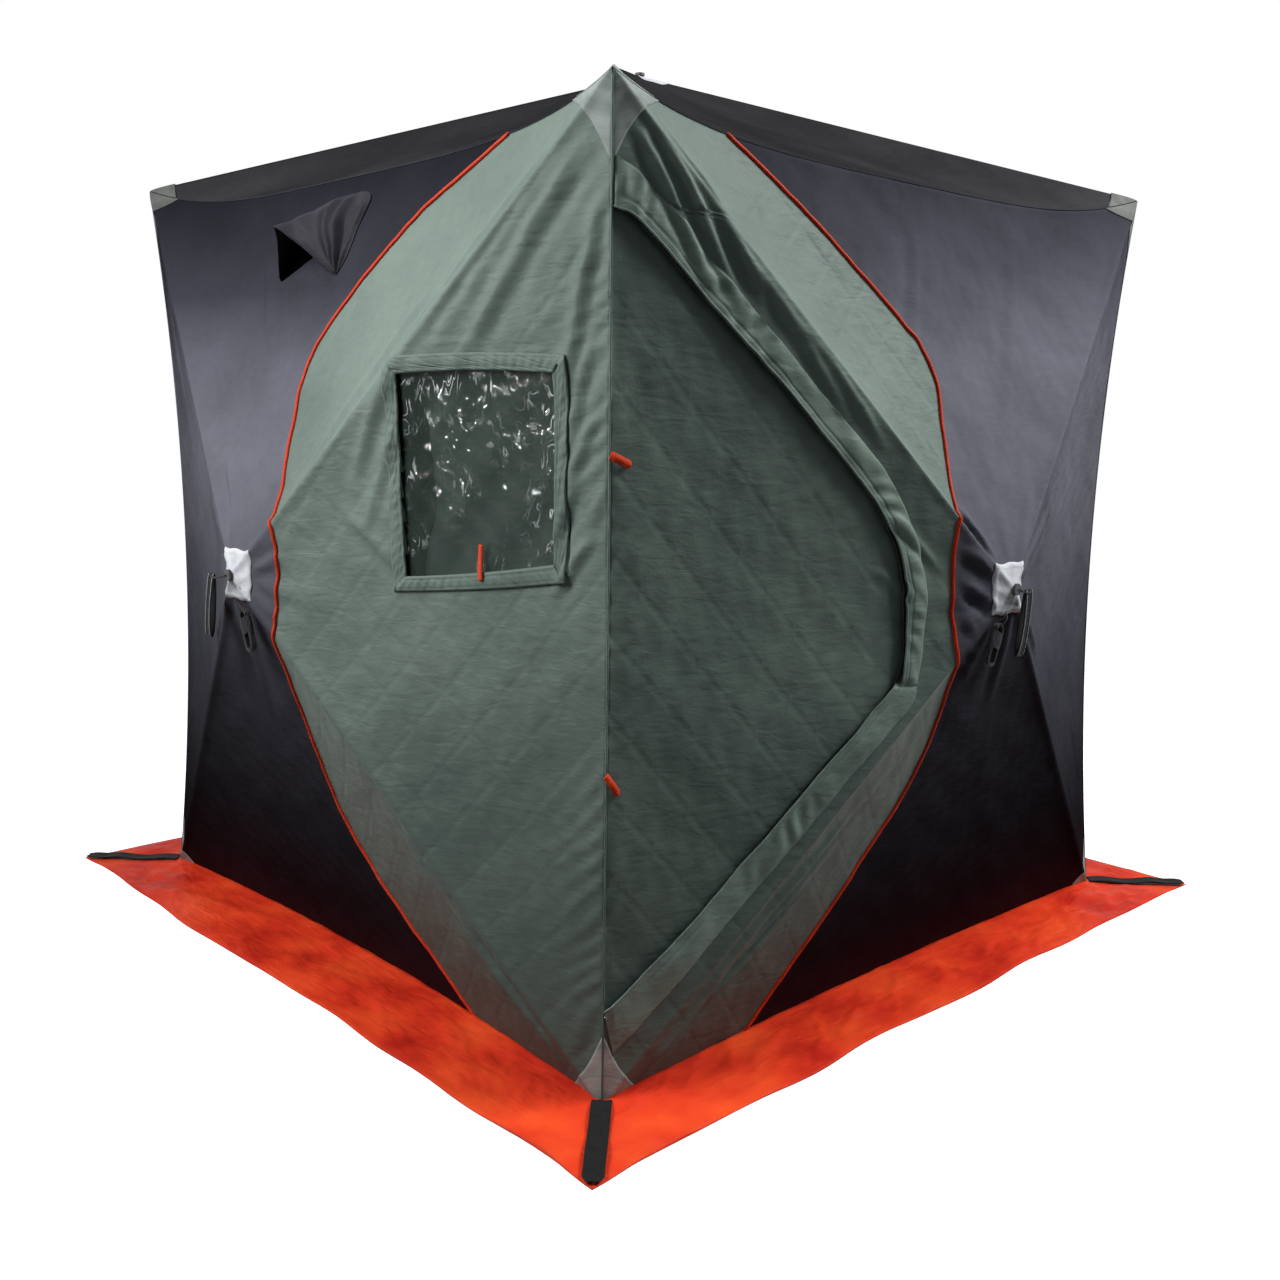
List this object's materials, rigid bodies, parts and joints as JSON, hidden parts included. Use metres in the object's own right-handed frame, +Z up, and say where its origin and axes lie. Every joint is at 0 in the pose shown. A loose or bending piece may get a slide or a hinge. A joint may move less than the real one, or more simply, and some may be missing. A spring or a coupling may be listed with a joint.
{
  "type": "pop-up hub ice fishing shelter",
  "caption": "Square pop-up fabric shelter for ice fishing, with poles meeting in wall and roof hubs, a zipped side door, a clear window, a hooded vent and a ground skirt.",
  "frame": {"origin": "middle of the base, on the ground", "axes": "+Z up, -Y out of the wall with the door, -X out of the wall with the window"},
  "size_m": [2.318, 2.318, 2.0978],
  "materials": {
    "green_cloth": "quilted, coated polyester",
    "charcoal_cloth": "coated polyester, soft sheen",
    "orange_nylon": "thin coated nylon",
    "light_patch_cloth": "ripstop",
    "grey_patch_cloth": "ripstop",
    "clear_vinyl": "clear flexible vinyl",
    "glass_fibre": "satin fibreglass rod",
    "moulded_nylon": "moulded, satin",
    "black_webbing": "woven webbing",
    "black_cord": "braided cord",
    "black_zip": "zip tape and coil"
  },
  "bodies": {
    "shelter": {"left_window_panel": "green_cloth", "left_rear_panel": "charcoal_cloth", "left_upper_panel": "charcoal_cloth", "left_lower_panel": "charcoal_cloth", "front_upper_panel": "charcoal_cloth", "front_lower_panel": "charcoal_cloth", "front_far_panel": "charcoal_cloth", "door_hinge_seam": "green_cloth", "door_surround_upper": "green_cloth", "door_surround_nose": "green_cloth", "door_surround_lower": "green_cloth", "door_storm_flap": "green_cloth", "right_wall": "charcoal_cloth", "back_wall": "charcoal_cloth", "roof": "charcoal_cloth", "front_poles": "glass_fibre", "left_poles": "glass_fibre", "right_poles": "glass_fibre", "back_poles": "glass_fibre", "roof_poles": "glass_fibre", "wall_hubs": "moulded_nylon", "roof_hub": "moulded_nylon", "top_corner_sockets": "moulded_nylon", "bottom_corner_sockets": "moulded_nylon", "hub_patches": "light_patch_cloth", "top_corner_patches": "grey_patch_cloth", "bottom_corner_patches": "grey_patch_cloth", "front_piping": "orange_nylon", "left_piping": "orange_nylon", "vent_hood": "charcoal_cloth", "window_band_frame": "green_cloth", "window_pane": "clear_vinyl", "window_curtain": "green_cloth", "window_pull_tab": "orange_nylon", "skirt_front": "orange_nylon", "skirt_left": "orange_nylon", "skirt_right": "orange_nylon", "skirt_back": "orange_nylon", "corner_straps": "black_webbing", "pull_straps": "black_webbing", "front_guy_hank": "black_cord", "left_guy_hank": "black_cord", "right_guy_hank": "black_cord", "back_guy_hank": "black_cord"},
    "door": {"door_panel": "green_cloth", "door_zip": "black_zip", "door_tie_loops": "orange_nylon"}
  },
  "joints": [
    {"name": "door_swing", "type": "hinge", "parent": "shelter", "child": "door", "pos_m": [-0.87076, -0.89547, 0.9], "axis": [0, 0, -1], "range_deg": [0, 150]}
  ]
}
